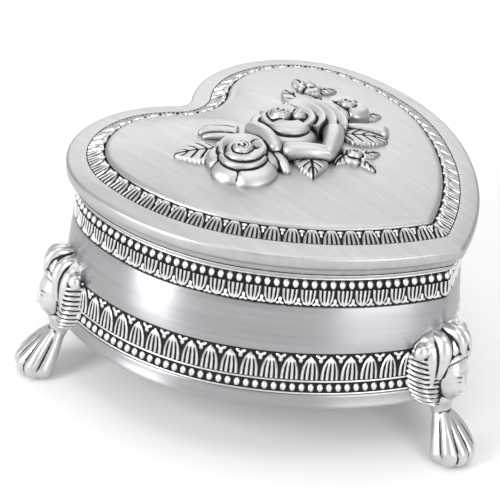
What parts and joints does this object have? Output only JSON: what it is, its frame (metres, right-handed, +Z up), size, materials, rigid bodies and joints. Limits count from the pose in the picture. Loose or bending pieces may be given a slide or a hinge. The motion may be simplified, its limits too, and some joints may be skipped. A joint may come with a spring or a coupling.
{
  "type": "heart-shaped trinket box",
  "caption": "Heart-shaped hinged metal trinket box with a domed rose-spray lid, cast galleries, a velvet-lined inside and sphinx-headed paw feet.",
  "frame": {"origin": "centre of the bounding box in plan, on the surface the feet stand on", "axes": "+Z up, +Y to the rear where the notch and the hinge are, the heart's tip to -Y, +X to the side of the right lobe"},
  "size_m": [0.114, 0.1083, 0.069],
  "materials": {
    "pewter": "satin antique pewter, brushed",
    "pewter_relief": "cast relief with black patina in its hollows",
    "steel": "plain turned",
    "velvet": "short black pile",
    "card": "plain"
  },
  "bodies": {
    "box": {"body_wall": "pewter", "base_plate": "pewter", "upper_band": "pewter_relief", "lower_band": "pewter_relief", "foot_front": "pewter", "foot_left": "pewter", "foot_right": "pewter", "foot_screws": "steel", "hinge_body_leaf": "pewter", "hinge_pin": "steel", "floor_card": "card", "floor_lining": "velvet", "wall_lining": "velvet"},
    "lid": {"lid_shell": "pewter", "lid_border": "pewter_relief", "rose_spray": "pewter_relief", "hinge_lid_leaf": "pewter", "lid_card": "card", "lid_lining": "velvet"}
  },
  "joints": [
    {"name": "lid_hinge", "type": "hinge", "parent": "box", "child": "lid", "pos_m": [0, 0.05174, 0.048], "axis": [-1, 0, 0], "range_deg": [0, 100]}
  ]
}
